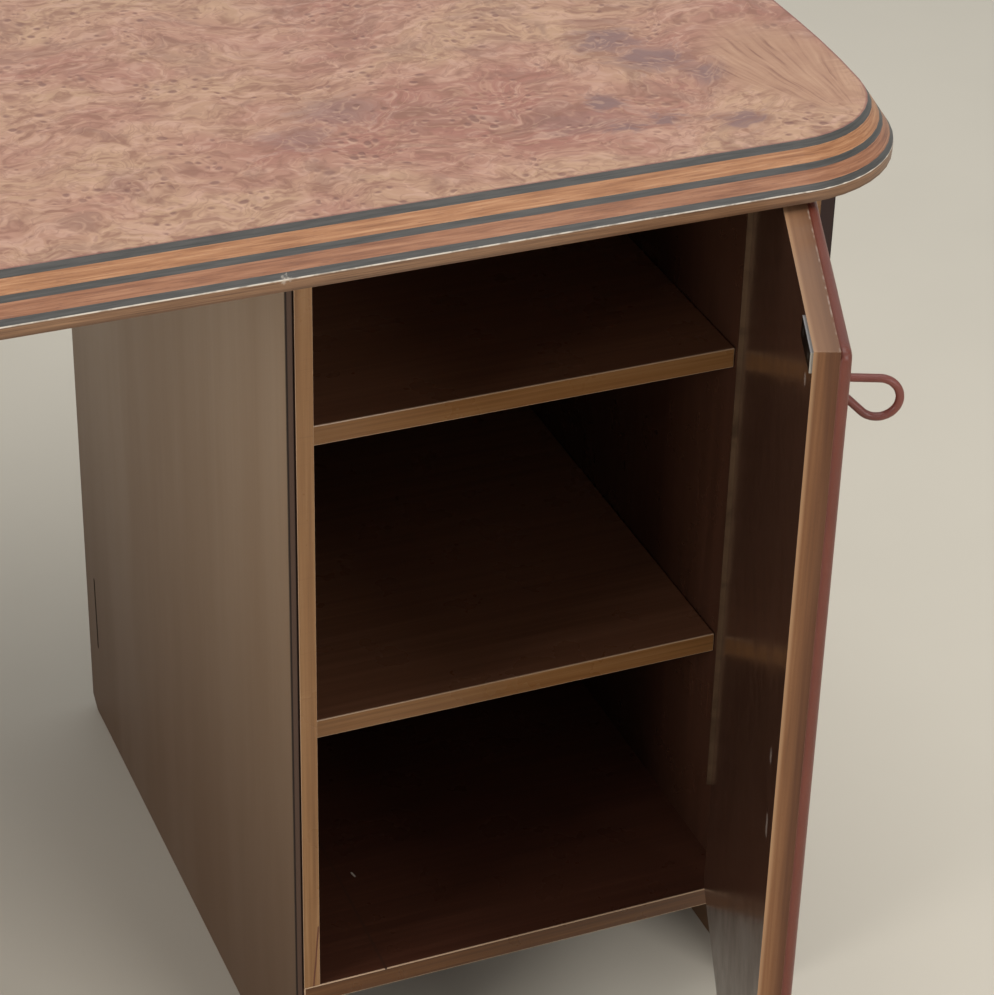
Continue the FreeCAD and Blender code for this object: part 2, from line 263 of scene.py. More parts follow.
def from_edge(graph, place):
    """Distance in from the top's outline, which is eased before each corner, in metres."""
    spread = EASE_RADIUS - CORNER_RADIUS
    tight_y = TOP_HALF.y - CORNER_RADIUS
    ease_x = TOP_HALF.x - EASE_RADIUS
    ease_y = tight_y - spread * math.sin(EASE_ANGLE)
    tight_x = ease_x + spread * math.cos(EASE_ANGLE)
    offset = graph.vector("SUBTRACT", place, (TOP_MIDDLE.x, TOP_MIDDLE.y, 0))
    reach = graph.parts(graph.vector("ABSOLUTE", offset))

    end_x = graph.math("SUBTRACT", reach["X"], ease_x)
    end_y = graph.math("MAXIMUM", graph.math("SUBTRACT", reach["Y"], ease_y), 0.0)
    end_reach = graph.vector("LENGTH", graph.join(end_x, end_y, 0.0))
    end_inset = graph.math("SUBTRACT", EASE_RADIUS, end_reach)

    past_x = graph.math("SUBTRACT", reach["X"], tight_x)
    past_y = graph.math("SUBTRACT", reach["Y"], tight_y)
    long_x = graph.math("MAXIMUM", past_x, 0.0)
    long_y = graph.math("MAXIMUM", past_y, 0.0)
    long_reach = graph.vector("LENGTH", graph.join(long_x, long_y, 0.0))
    long_inset = graph.math("SUBTRACT", CORNER_RADIUS, long_reach)

    leaning = graph.math("MULTIPLY", past_x, math.tan(EASE_ANGLE))
    on_long_edge = graph.math("GREATER_THAN", past_y, leaning)
    gain = graph.math("SUBTRACT", long_inset, end_inset)
    return graph.math("ADD", end_inset, graph.math("MULTIPLY", gain, on_long_edge))


LINE_DRIFT_SCALE = 60.0
MIDDLE_GREY = (0.5, 0.5, 0.5)


def near_line(graph, place, start, end, width, drift=0.0):
    """One along the line between two points, falling to nothing at half the width."""
    start = Vector(start)
    run = Vector(end) - start
    if drift:
        wander = graph.noise(place, scale=LINE_DRIFT_SCALE, detail=4.0, colour=True)
        shake = graph.vector("SCALE", graph.vector("SUBTRACT", wander, MIDDLE_GREY), drift)
        place = graph.vector("ADD", place, shake)
    offset = graph.vector("SUBTRACT", place, start)
    travel = graph.vector("DOT_PRODUCT", offset, run / run.length_squared)
    travel = graph.math("ADD", travel, 0.0, clamp=True)
    foot = graph.vector("SCALE", run, travel)
    gap = graph.vector("LENGTH", graph.vector("SUBTRACT", offset, foot))
    half = width / 2
    return graph.fade(gap, low=half / 2, high=half)


def on_arris(graph, axes):
    """One where the surface faces none of three square axes, as on a rounded arris."""
    facing = 0.0
    for axis in axes:
        share = graph.math("ABSOLUTE", graph.vector("DOT_PRODUCT", graph.normal(), axis))
        facing = graph.math("MAXIMUM", share, facing)
    return graph.fade(facing, low=0.94, high=0.985)


# Woods

# Smoky patches of the burr: x, y and reach in metres, and strength
SMOKE_PATCHES = (
    (0.850, -0.150, 0.020, 0.9),
    (0.868, -0.180, 0.022, 0.9),
    (0.890, -0.208, 0.018, 0.9),
    (0.815, -0.226, 0.013, 0.9),
    (0.817, -0.262, 0.009, 0.9),
    (0.841, -0.256, 0.011, 0.9),
    (0.880, -0.271, 0.014, 0.9),
    (0.668, -0.186, 0.024, 0.55),
    (0.640, -0.215, 0.018, 0.50),
)

# Fan of plain figure in the near corner
FAN_POINT = (0.946, -0.316, 0.0)
FAN_MIDDLE = (0.936, -0.222, 0.0)
FAN_REACH = 0.050
FAN_FADE_SHARE = 0.55
FAN_LINES = (38.0, 30.0, 20.0)
FAN_TONES = (
    (0.30, srgb(136, 94, 74)),
    (0.41, srgb(166, 124, 98)),
    (0.56, srgb(173, 132, 105)),
    (0.70, srgb(182, 142, 114)),
)
FAN_WIDTH_SHARES = (1.0, 0.62, 0.0)

# Tones and shifts of the burr figure
BURR_ZONES = (
    (0.36, srgb(158, 106, 89)),
    (0.48, srgb(170, 124, 103)),
    (0.60, srgb(181, 142, 113)),
)
BURR_CLOUD_DARK = srgb(142, 106, 89)
BURR_CLOUD_PALE = srgb(194, 153, 131)
BURR_MOTTLE_DARK = srgb(135, 91, 71)
BURR_MOTTLE_PALE = srgb(196, 155, 134)
BURR_SMOKE = srgb(126, 95, 90)
BURR_STREAK_PALE = srgb(204, 162, 134)
BURR_STREAK_DARK = srgb(132, 88, 74)
BURR_EYE_HIGHLIGHT = srgb(206, 164, 138)
BURR_EYE = srgb(112, 72, 62)
BURR_RIM = srgb(124, 76, 68)
BURR_FLOW_SHARES = (0.62, 1.15, 1.0)
BURR_DRIFT = 0.08
BURR_CURL = 0.024
EYE_CURL_SHARE = 0.42
EYE_SHARE = 0.70
EYE_HIGHLIGHT_SHARE = 0.40
PALE_STREAK_SHARE = 0.30
DARK_STREAK_SHARE = 0.36
FAN_CURL_SHARE = 0.15
CLOUD_SHIFT = (3.1, 1.7, 0.0)
STREAK_SHIFT = (5.3, 2.9, 0.0)
EYE_HIGHLIGHT_SHIFT = (0.0010, 0.0020, 0.0)
NO_SHIFT = (0.0, 0.0, 0.0)
SMOKE_WISP = 0.030
SMOKE_SHARES = (0.8, 1.0, 0.0)
SMOKE_FADE_SHARES = (0.3, 1.2)
FAN_EDGE = 0.06


def burr_eyes(graph, place, shift):
    """Uneven eyes of the burr, drawn shifted a little to one side."""
    moved = graph.vector("ADD", place, shift)
    small = graph.rise(graph.spots(moved, scale=165.0, largest=0.56), low=0.0, high=0.28)
    large = graph.rise(graph.spots(moved, scale=78.0, largest=0.34), low=0.0, high=0.24)
    return graph.math("MAXIMUM", small, large)


def curled_streaks(graph, place, scale, width):
    """Short curling streaks where a warped noise crosses its middle."""
    wave = graph.noise(place, scale=scale, detail=2.0, roughness=0.5, distortion=1.6)
    off = graph.math("ABSOLUTE", graph.math("SUBTRACT", wave, 0.5))
    return graph.fade(off, low=0.0, high=width)


def corner_fan(graph, place):
    """Plain figure whose fine lines spread like a fan from the near corner."""
    away = graph.vector("SUBTRACT", place, FAN_POINT)
    sides = graph.parts(away)
    angle = graph.math("ARCTAN2", sides["Y"], sides["X"])
    distance = graph.vector("LENGTH", graph.join(sides["X"], sides["Y"], 0.0))
    around, curving, outward = FAN_LINES
    curved = graph.math("MULTIPLY", distance, curving)
    turned = graph.math("ADD", graph.math("MULTIPLY", angle, around), curved)
    polar = graph.join(turned, graph.math("MULTIPLY", distance, outward), 0.0)
    lines = graph.noise(polar, scale=1.0, detail=2.0, roughness=0.45, distortion=0.4)
    return graph.ramp(lines, FAN_TONES)


def burr_walnut():
    """Burr veneer: warm and pale zones, curling streaks, clustered eyes with a painted highlight beside
    each, and smoky patches.
    """
    graph = Graph("burr_walnut", roughness=0.33, Specular_IOR_Level=0.45)
    place = graph.place()
    slow = graph.noise(place, scale=9.0, detail=2.0, roughness=0.5, colour=True)
    fast = graph.noise(place, scale=38.0, detail=2.0, roughness=0.5, colour=True)
    drift = graph.vector("SCALE", graph.vector("SUBTRACT", slow, MIDDLE_GREY), BURR_DRIFT)
    curl = graph.vector("SCALE", graph.vector("SUBTRACT", fast, MIDDLE_GREY), BURR_CURL)
    bent = graph.vector("ADD", place, curl)
    flow = graph.vector("MULTIPLY", graph.vector("ADD", bent, drift), BURR_FLOW_SHARES)

    zone = graph.noise(flow, scale=10.0, detail=3.0, roughness=0.6)
    colour = graph.ramp(zone, BURR_ZONES)
    cloud_flow = graph.vector("ADD", flow, CLOUD_SHIFT)
    cloud = graph.noise(cloud_flow, scale=30.0, detail=3.0, roughness=0.6, distortion=0.8)
    dark_share = graph.rise(cloud, low=0.49, high=0.68, most=0.58)
    pale_share = graph.fade(cloud, low=0.30, high=0.46, most=0.50)
    colour = graph.mix(dark_share, colour, BURR_CLOUD_DARK)
    colour = graph.mix(pale_share, colour, BURR_CLOUD_PALE)
    mottle = graph.noise(flow, scale=85.0, detail=3.0, roughness=0.55, distortion=0.9)
    dark_share = graph.rise(mottle, low=0.49, high=0.66, most=0.66)
    pale_share = graph.fade(mottle, low=0.34, high=0.47, most=0.50)
    colour = graph.mix(dark_share, colour, BURR_MOTTLE_DARK)
    colour = graph.mix(pale_share, colour, BURR_MOTTLE_PALE)

    haze = graph.noise(flow, scale=8.5, detail=3.0, roughness=0.55, distortion=0.9)
    smoke = graph.rise(haze, low=0.60, high=0.74, most=0.55)
    wisp = graph.math("MULTIPLY", graph.math("SUBTRACT", mottle, 0.5), SMOKE_WISP)
    for x, y, reach, strength in SMOKE_PATCHES:
        away = graph.vector("MULTIPLY", graph.vector("SUBTRACT", bent, (x, y, 0.0)), SMOKE_SHARES)
        away = graph.math("ADD", graph.vector("LENGTH", away), wisp)
        full, gone = [reach * share for share in SMOKE_FADE_SHARES]
        patch = graph.fade(away, low=full, high=gone, most=strength)
        smoke = graph.math("MAXIMUM", smoke, patch)
    colour = graph.mix(smoke, colour, BURR_SMOKE)

    crowd = graph.noise(flow, scale=26.0, detail=3.0, roughness=0.6)
    crowd = graph.step(crowd, low=0.46, high=0.58, out_low=0.04, out_high=1.0)
    pale = curled_streaks(graph, flow, scale=40.0, width=0.042)
    pale = graph.math("MULTIPLY", pale, PALE_STREAK_SHARE)
    aside = graph.vector("ADD", flow, STREAK_SHIFT)
    dark = curled_streaks(graph, aside, scale=52.0, width=0.042)
    dark = graph.math("MULTIPLY", dark, DARK_STREAK_SHARE)
    colour = graph.mix(pale, colour, BURR_STREAK_PALE)
    colour = graph.mix(dark, colour, BURR_STREAK_DARK)
    softened = graph.vector("ADD", place, graph.vector("SCALE", curl, EYE_CURL_SHARE))
    eyes = graph.math("MULTIPLY", burr_eyes(graph, softened, NO_SHIFT), crowd)
    # Painted highlight: a pale rim drawn shifted to one side of each eye.
    eye_highlights = graph.math("MULTIPLY", burr_eyes(graph, softened, EYE_HIGHLIGHT_SHIFT), crowd)
    colour = graph.mix(graph.math("MULTIPLY", eye_highlights, EYE_HIGHLIGHT_SHARE), colour, BURR_EYE_HIGHLIGHT)
    colour = graph.mix(graph.math("MULTIPLY", eyes, EYE_SHARE), colour, BURR_EYE)

    spread = graph.vector("MULTIPLY", graph.vector("SUBTRACT", place, FAN_MIDDLE), FAN_WIDTH_SHARES)
    edge = graph.math("MULTIPLY", graph.math("SUBTRACT", zone, 0.5), FAN_EDGE)
    fan_share = graph.math("ADD", graph.vector("LENGTH", spread), edge)
    fan_full = FAN_REACH * FAN_FADE_SHARE
    fan_share = graph.fade(fan_share, low=fan_full, high=FAN_REACH, most=0.90)
    fan_place = graph.vector("ADD", place, graph.vector("SCALE", curl, FAN_CURL_SHARE))
    colour = graph.mix(fan_share, colour, corner_fan(graph, fan_place))

    inward = from_edge(graph, place)
    rim_full, rim_gone = [BEVEL_RUN + inset for inset in FIELD_RIM]
    rim = graph.fade(inward, low=rim_full, high=rim_gone, most=0.7)
    colour = graph.mix(rim, colour, BURR_RIM)
    graph.set("Base Color", colour)

    fibre = graph.noise(flow, scale=240.0, detail=3.0, roughness=0.6, distortion=0.4)
    graph.set("Roughness", graph.step(fibre, low=0.3, high=0.7, out_low=0.29, out_high=0.37))
    graph.bump(fibre, distance=0.00002, strength=0.3)
    return graph.material


# Bands, inlay and lip: tones, and grain scales along and across the edge
GOLDEN_BAND = (srgb(126, 80, 50), srgb(160, 110, 74), srgb(184, 136, 98))
GOLDEN_SEED = 2.0
RED_BAND = (srgb(110, 68, 47), srgb(143, 95, 67), srgb(166, 118, 88))
RED_SEED = 9.0
BAND_STOPS = (0.28, 0.5, 0.70)
BAND_ALONG = 26.0
BAND_ACROSS = 1300.0
BAND_PORES_ALONG = 160.0
BAND_PORES_ACROSS_SHARE = 2.4
INLAY_ALONG = 40.0
INLAY_ACROSS = 1500.0
INLAY_TONES = ((0.3, srgb(56, 54, 51)), (0.7, srgb(80, 77, 73)))
INLAY_HIGHLIGHT_SHARE = 2.5
INLAY_ARRIS_HIGHLIGHT = srgb(206, 194, 178)
LIP_ALONG = 22.0
LIP_ACROSS = 1400.0
LIP_TONES = (
    (0.30, srgb(84, 58, 40)),
    (0.50, srgb(120, 86, 60)),
    (0.72, srgb(146, 110, 80)),
)
LIP_PAINTED_SHADE = srgb(66, 42, 24)
LIP_ARRIS_HIGHLIGHT = srgb(214, 202, 186)


def edge_band(name, tones, seed):
    """Straight-grained band that follows the top's outline."""
    graph = Graph(name, roughness=0.34, Specular_IOR_Level=0.45)
    place = graph.place()
    inward = from_edge(graph, place)
    xyz = graph.parts(place)
    along_x = graph.math("MULTIPLY", xyz["X"], BAND_ALONG)
    along_y = graph.math("MULTIPLY", xyz["Y"], BAND_ALONG)
    across = graph.math("ADD", graph.math("MULTIPLY", inward, BAND_ACROSS), seed)
    along = graph.join(along_x, along_y, across)
    grain = graph.noise(along, scale=1.0, detail=5.0, roughness=0.6, distortion=0.35)
    colour = graph.ramp(grain, list(zip(BAND_STOPS, tones)))
    fine_x = graph.math("MULTIPLY", xyz["X"], BAND_PORES_ALONG)
    fine_y = graph.math("MULTIPLY", xyz["Y"], BAND_PORES_ALONG)
    fine_across = graph.math("MULTIPLY", across, BAND_PORES_ACROSS_SHARE)
    pores = graph.noise(graph.join(fine_x, fine_y, fine_across), scale=1.0, detail=2.0)
    pore_share = graph.rise(pores, low=0.60, high=0.70, most=0.5)
    colour = graph.mix(pore_share, colour, tones[0])
    graph.set("Base Color", colour)
    graph.bump(graph.math("SUBTRACT", grain, pore_share), distance=0.00008, strength=0.6)
    return graph.material


def arris_highlight_and_chip(graph, place, inset):
    """Pale arris painted as a highlight, broken here and there, with one chip in the front edge."""
    broken = graph.noise(place, scale=110.0, detail=3.0, roughness=0.6)
    broken = graph.step(broken, low=0.34, high=0.54, out_low=0.45, out_high=1.0)
    # The pale band along the arris is a painted highlight.
    bare = graph.fade(inset, low=ARRIS_HIGHLIGHT_WIDTH * ARRIS_HIGHLIGHT_SHARE, high=ARRIS_HIGHLIGHT_WIDTH, most=0.95)
    pale_arris = graph.math("MULTIPLY", bare, broken)
    away = graph.vector("LENGTH", graph.vector("SUBTRACT", place, CHIP))
    ragged = graph.math("MULTIPLY", graph.noise(place, scale=520.0, detail=3.0), CHIP_ROUGHNESS)
    away = graph.math("ADD", away, ragged)
    chip = graph.fade(away, low=CHIP_REACH[0], high=CHIP_REACH[1], most=0.45)
    return graph.math("MAXIMUM", pale_arris, chip)


def dark_inlay(name):
    """Dyed dark inlay with a faint grain and a painted highlight along its lower edge."""
    graph = Graph(name, roughness=0.38, Specular_IOR_Level=0.45)
    place = graph.place()
    inward = from_edge(graph, place)
    xyz = graph.parts(place)
    across = graph.math("MULTIPLY", inward, INLAY_ACROSS)
    along_x = graph.math("MULTIPLY", xyz["X"], INLAY_ALONG)
    along_y = graph.math("MULTIPLY", xyz["Y"], INLAY_ALONG)
    grain = graph.noise(graph.join(along_x, along_y, across), scale=1.0, detail=4.0, roughness=0.6)
    colour = graph.ramp(grain, INLAY_TONES)
    pale_arris = arris_highlight_and_chip(graph, place, graph.math("MULTIPLY", inward, INLAY_HIGHLIGHT_SHARE))
    colour = graph.mix(pale_arris, colour, INLAY_ARRIS_HIGHLIGHT)
    graph.set("Base Color", colour)
    graph.bump(grain, distance=0.00005, strength=0.5)
    return graph.material


def lip_walnut():
    """Edge of the top's base panel, with a painted highlight along its upper arris and painted shade
    towards its foot.
    """
    graph = Graph("lip_walnut", roughness=0.38, Specular_IOR_Level=0.45)
    place = graph.place()
    xyz = graph.parts(place)
    along_x = graph.math("MULTIPLY", xyz["X"], LIP_ALONG)
    along_y = graph.math("MULTIPLY", xyz["Y"], LIP_ALONG)
    across = graph.math("MULTIPLY", xyz["Z"], LIP_ACROSS)
    along = graph.join(along_x, along_y, across)
    grain = graph.noise(along, scale=1.0, detail=5.0, roughness=0.62, distortion=0.3)
    colour = graph.ramp(grain, LIP_TONES)
    above = graph.math("SUBTRACT", xyz["Z"], LIP_FOOT)
    # Painted shade darkens the lip towards its foot.
    shade = graph.fade(above, low=LIP_SHADE[0], high=LIP_SHADE[1], most=0.55)
    colour = graph.mix(shade, colour, LIP_PAINTED_SHADE)
    pale_arris = arris_highlight_and_chip(graph, place, graph.math("SUBTRACT", LIP_TOP, xyz["Z"]))
    colour = graph.mix(pale_arris, colour, LIP_ARRIS_HIGHLIGHT)
    graph.set("Base Color", colour)
    graph.bump(grain, distance=0.0001, strength=0.5)
    return graph.material


SEED_SHARES = (1.0, 1.7, 2.3)
PORE_SHARE = 3.1


def long_grain(graph, place, grain_scales, seed):
    """Streaks and pores that run the way the scales are small."""
    shift = [seed * share for share in SEED_SHARES]
    stretched = graph.vector("ADD", graph.vector("MULTIPLY", place, grain_scales), shift)
    streaks = graph.noise(stretched, scale=1.0, detail=5.0, roughness=0.58, distortion=0.35)
    pores = graph.noise(graph.vector("SCALE", stretched, PORE_SHARE), scale=1.0, detail=2.0, roughness=0.5)
    return streaks, graph.rise(pores, low=0.60, high=0.72)


# Gables: grain, tones and the height over which painted shade darkens them
GABLE_GRAIN = (420.0, 260.0, 4.5)
GABLE_SEED = 3.0
GABLE_BAND_SCALES = (18.0, 14.0, 2.2)
GABLE_TONES = (
    (0.28, srgb(143, 115, 88)),
    (0.50, srgb(146, 118, 91)),
    (0.74, srgb(149, 121, 94)),
)
GABLE_BAND = srgb(121, 94, 70)
GABLE_PAINTED_SHADE = srgb(82, 56, 35)
GABLE_PORE = srgb(74, 55, 40)
GABLE_PORE_SHARE = 0.12
GABLE_SHADE_FADE = (0.02, 0.64)
BACK_INSIDE = srgb(34, 20, 14)
STRIP_TAUPE = srgb(78, 58, 47)
STRIP_PAINTED_SHADE = srgb(46, 28, 25)
STRIP_EDGE = srgb(26, 16, 13)
STRIP_SIDE_SHADE = srgb(40, 26, 19)

# Cracks: the ends of each, in metres
GABLE_CRACK = ((0.6365, 0.2867, 0.133), (0.6365, 0.2857, 0.071))
WALL_CRACK = ((0.6517, -0.1965, 0.160), (0.6480, -0.1965, 0.109))
CRACK_WIDTH = 0.0048
CRACK_DRIFT = 0.0015
CRACK_COLOUR = srgb(34, 20, 11)
SPLIT_WIDTH = 0.0015
SPLIT_DRIFT = 0.001
SPLIT_COLOUR = srgb(92, 50, 33)


def facing_sitter(graph):
    """One on faces that look towards the sitter."""
    return graph.fade(graph.parts(graph.normal())["Y"], low=-0.6, high=-0.4)


def front_strip(graph, place, panel, strip_tone, colour):
    """Narrow lipped front edge of a gable, with dark margins, partly joint lines and partly painted shade,
    and painted shade on the side face beside its arris.
    """
    low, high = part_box(panel)
    xyz = graph.parts(place)
    front = facing_sitter(graph)
    across = graph.math("ABSOLUTE", graph.math("SUBTRACT", xyz["X"], (low[0] + high[0]) / 2))
    half = (high[0] - low[0]) / 2
    margin = graph.rise(across, low=half - STRIP_MARGIN[0], high=half - STRIP_MARGIN[1])
    strip = graph.mix(margin, strip_tone, STRIP_EDGE)
    colour = graph.mix(front, colour, strip)
    dark_end, plain_start = [low[1] + inset for inset in STRIP_ARRIS]
    # Painted shade on the side face next to the front arris.
    arris = graph.fade(xyz["Y"], low=dark_end, high=plain_start, most=0.85)
    side = graph.math("SUBTRACT", 1.0, front)
    return graph.mix(graph.math("MULTIPLY", arris, side), colour, STRIP_SIDE_SHADE)


def gable_veneer(name, panel=None, strip_tone=None, crack=None, inside=None):
    """Taupe satin veneer with a faint upright grain, darkened towards the floor by painted shade."""
    graph = Graph(name, roughness=0.38, Specular_IOR_Level=0.22)
    place = graph.place()
    xyz = graph.parts(place)
    streaks, pores = long_grain(graph, place, GABLE_GRAIN, GABLE_SEED)
    colour = graph.ramp(streaks, GABLE_TONES)
    banded = graph.vector("MULTIPLY", place, GABLE_BAND_SCALES)
    bands = graph.noise(banded, scale=1.0, detail=3.0, roughness=0.5)
    band_share = graph.rise(bands, low=0.35, high=0.7, most=0.26)
    colour = graph.mix(band_share, colour, GABLE_BAND)
    # Painted shade darkens the veneer towards the floor.
    floor_shade = graph.fade(xyz["Z"], low=GABLE_SHADE_FADE[0], high=GABLE_SHADE_FADE[1], most=0.97)
    colour = graph.mix(floor_shade, colour, GABLE_PAINTED_SHADE)
    colour = graph.mix(graph.math("MULTIPLY", pores, GABLE_PORE_SHARE), colour, GABLE_PORE)
    dull = graph.step(bands, low=0.3, high=0.7, out_low=0.34, out_high=0.42)

    if panel:
        colour = front_strip(graph, place, panel, strip_tone, colour)
    if inside:
        colour = graph.mix(facing_sitter(graph), colour, inside)
    if crack:
        split = near_line(graph, place, *crack, CRACK_WIDTH, CRACK_DRIFT)
        colour = graph.mix(split, colour, CRACK_COLOUR)
        dull = graph.math("MAXIMUM", dull, split)
    graph.set("Base Color", colour)
    graph.set("Roughness", dull)
    graph.bump(graph.math("SUBTRACT", streaks, pores), distance=0.00004, strength=0.3)
    return graph.material


# Gables: node, tone of the front strip and crack
GABLES = (
    ("right_inner_gable", STRIP_TAUPE, GABLE_CRACK),
    # The right outer gable's strip is darkened as painted shade, for the shadow of the open door.
    ("right_outer_gable", STRIP_PAINTED_SHADE, None),
    ("left_inner_gable", STRIP_TAUPE, None),
    ("left_outer_gable", STRIP_TAUPE, None),
)

# Tones of clad edges, of level edges lightened as painted light, and of arrises lightened as painted
# highlights
CLAD_PAINTED_SHADE = srgb(60, 25, 13)
CLAD_PAINTED_HIGHLIGHT = srgb(176, 138, 102)
CLAD_THREAD = srgb(214, 196, 182)
LEVEL_SHADE_LOSS_SHARE = 0.45
LIT_LEVEL_EDGE = srgb(136, 103, 79)
LIT_LEVEL_EDGE_SHARE = 0.55
PAINTED_ARRIS_HIGHLIGHT = srgb(206, 174, 142)
ARRIS_HIGHLIGHT_MIX = 0.8
FACE_PORE_SHARE = 0.08
END_PORE_SHARE = 0.3
BOARD_STOPS = (0.28, 0.5, 0.72)
UPRIGHT_GRAIN = (300.0, 220.0, 5.0)
SIDEWAYS_GRAIN = (5.0, 240.0, 300.0)


class Finish:
    """Tones and polish of a board: dark, middle and light of its faces and of its lipping."""

    def __init__(self, face, lipping, gloss, shine):
        self.face = face
        self.lipping = lipping
        self.gloss = gloss
        self.shine = shine


def clad_edge(graph, own, level, seam, edge):
    """Edge of a clad board: a painted highlight by its bare face, painted shade in dark red towards the
    leather, with a broken seam.
    """
    leather_side, bare_side = seam
    depth = graph.parts(own)["Y"]
    upright = graph.math("SUBTRACT", 1.0, graph.math("MULTIPLY", level, LEVEL_SHADE_LOSS_SHARE))
    # Painted shade: darker towards the leather, less so on edges that face up and down.
    shade = graph.fade(depth, low=leather_side, high=leather_side + CLAD_SHADE, most=0.66)
    edge = graph.mix(graph.math("MULTIPLY", shade, upright), edge, CLAD_PAINTED_SHADE)
    highlight_start, highlight_full = [bare_side - inset for inset in CLAD_HIGHLIGHT_BAND]
    highlight = graph.rise(depth, low=highlight_start, high=highlight_full, most=0.5)
    edge = graph.mix(highlight, edge, CLAD_PAINTED_HIGHLIGHT)
    broken = graph.rise(graph.noise(own, scale=90.0, detail=3.0), low=0.44, high=0.64)
    seam_full, seam_gone = [leather_side + inset for inset in CLAD_SEAM]
    seam_line = graph.fade(depth, low=seam_full, high=seam_gone, most=0.24)
    seam_line = graph.math("MULTIPLY", graph.math("MULTIPLY", seam_line, broken), level)
    return graph.mix(seam_line, edge, CLAD_THREAD)


def polished_board(name, grain_scales, finish, edge_share, axes, marks=(), seam=None):
    """Dark polished board whose edges show a lighter lipping with a pale arris painted as a highlight."""
    graph = Graph(name, roughness=0.3, Specular_IOR_Level=finish.shine)
    place = graph.place()
    own = graph.join(*[graph.vector("DOT_PRODUCT", place, axis) for axis in axes])
    seed = len(name)
    streaks, pores = long_grain(graph, own, grain_scales, seed)
    face = graph.ramp(streaks, list(zip(BOARD_STOPS, finish.face)))
    face = graph.mix(graph.math("MULTIPLY", pores, FACE_PORE_SHARE), face, finish.face[0])

    end_streaks, end_pores = long_grain(graph, own, SIDEWAYS_GRAIN, seed)
    level = graph.math("ABSOLUTE", graph.vector("DOT_PRODUCT", graph.normal(), axes[2]))
    level = graph.rise(level, low=0.6, high=0.8)
    gain = graph.math("MULTIPLY", graph.math("SUBTRACT", end_streaks, streaks), level)
    edge = graph.ramp(graph.math("ADD", streaks, gain), list(zip(BOARD_STOPS, finish.lipping)))
    edge = graph.mix(graph.math("MULTIPLY", end_pores, END_PORE_SHARE), edge, finish.lipping[0])
    # Painted light: edges that face up and down, such as the door's top edge, are lightened.
    edge = graph.mix(graph.math("MULTIPLY", level, LIT_LEVEL_EDGE_SHARE), edge, LIT_LEVEL_EDGE)
    if seam:
        edge = clad_edge(graph, own, level, seam, edge)
    # Painted highlight: the rounded arrises are lightened in colour.
    pale_arris = graph.math("MULTIPLY", on_arris(graph, axes), ARRIS_HIGHLIGHT_MIX)
    edge = graph.mix(pale_arris, edge, PAINTED_ARRIS_HIGHLIGHT)
    colour = graph.mix(edge_share(graph), face, edge)
    for start, end, width, drift, tone in marks:
        colour = graph.mix(near_line(graph, place, start, end, width, drift), colour, tone)
    graph.set("Base Color", colour)
    smooth, dull = finish.gloss
    haze = graph.noise(place, scale=30.0, detail=3.0)
    graph.set("Roughness", graph.step(haze, low=0.3, high=0.7, out_low=smooth, out_high=dull))
    graph.bump(graph.math("SUBTRACT", streaks, pores), distance=0.00003, strength=0.3)
    return graph.material


def edge_towards_sitter(graph):
    """The edge of a carcass board that faces the sitter."""
    return graph.rise(graph.vector("DOT_PRODUCT", graph.normal(), TO_SITTER), low=0.30, high=0.42)


def edges_all_round(face_axis):
    """The four edges of a front, all but its two faces."""
    def share(graph):
        towards = graph.vector("DOT_PRODUCT", graph.normal(), face_axis)
        return graph.fade(graph.math("ABSOLUTE", towards), low=0.90, high=0.96)
    return share


# Leathers: dark, middle and light tone, then grains to the metre
HIDE = (srgb(95, 43, 30), srgb(102, 48, 34), srgb(109, 54, 39))
HIDE_GRAIN = 900.0
THONG = (srgb(98, 47, 38), srgb(114, 57, 46), srgb(130, 70, 58))
THONG_GRAIN = 1500.0
LEATHER_STOPS = (0.3, 0.52, 0.74)
WANDER_SCALE_SHARE = 0.25
WANDER_SHARE = 0.6
CREASE_SHADE_SHARE = 0.4

# Metals: clean and worn tone, then streak scales that are small along the drawing
BRASS = (srgb(104, 83, 66), srgb(74, 58, 46))
BRASS_STREAKS = (900.0, 900.0, 14.0)
ZINC = (srgb(156, 154, 150), srgb(138, 136, 132))
ZINC_STREAKS = (700.0, 12.0, 700.0)
BLACKING = (srgb(52, 50, 48), srgb(28, 26, 25))
BLACKING_STREAKS = (700.0, 700.0, 12.0)
PAINTED_EDGE_HIGHLIGHT = srgb(214, 212, 208)
METAL_SPREAD = 0.22

# Catch case
CASE = srgb(24, 23, 22)
CASE_DUST = srgb(46, 45, 44)


def leather(name, tones, grain_scale):
    """Semi-matt leather with a pebbled grain, creases darkened as painted shade, and worn tone."""
    graph = Graph(name, roughness=0.36, Specular_IOR_Level=0.38, Coat_Weight=0.12, Coat_Roughness=0.20)
    place = graph.place()
    wander = graph.noise(place, scale=grain_scale * WANDER_SCALE_SHARE, detail=3.0, colour=True)
    bent = graph.vector("ADD", place, graph.vector("SCALE", wander, WANDER_SHARE / grain_scale))
    pebble = graph.cell_edges(bent, grain_scale)
    creases = graph.rise(pebble, low=0.02, high=0.16)
    tone = graph.noise(place, scale=24.0, detail=5.0, roughness=0.6, distortion=0.4)
    colour = graph.ramp(tone, list(zip(LEATHER_STOPS, tones)))
    # Painted shade in the grain's creases.
    crease_shade = graph.math("SUBTRACT", 1.0, creases)
    colour = graph.mix(graph.math("MULTIPLY", crease_shade, CREASE_SHADE_SHARE), colour, tones[0])
    graph.set("Base Color", colour)
    graph.set("Roughness", graph.step(tone, low=0.3, high=0.7, out_low=0.30, out_high=0.42))
    fine = graph.bump(creases, distance=0.00012, strength=0.55)
    graph.bump(graph.noise(place, scale=90.0, detail=3.0), distance=0.0003, strength=0.25, base=fine)
    return graph.material


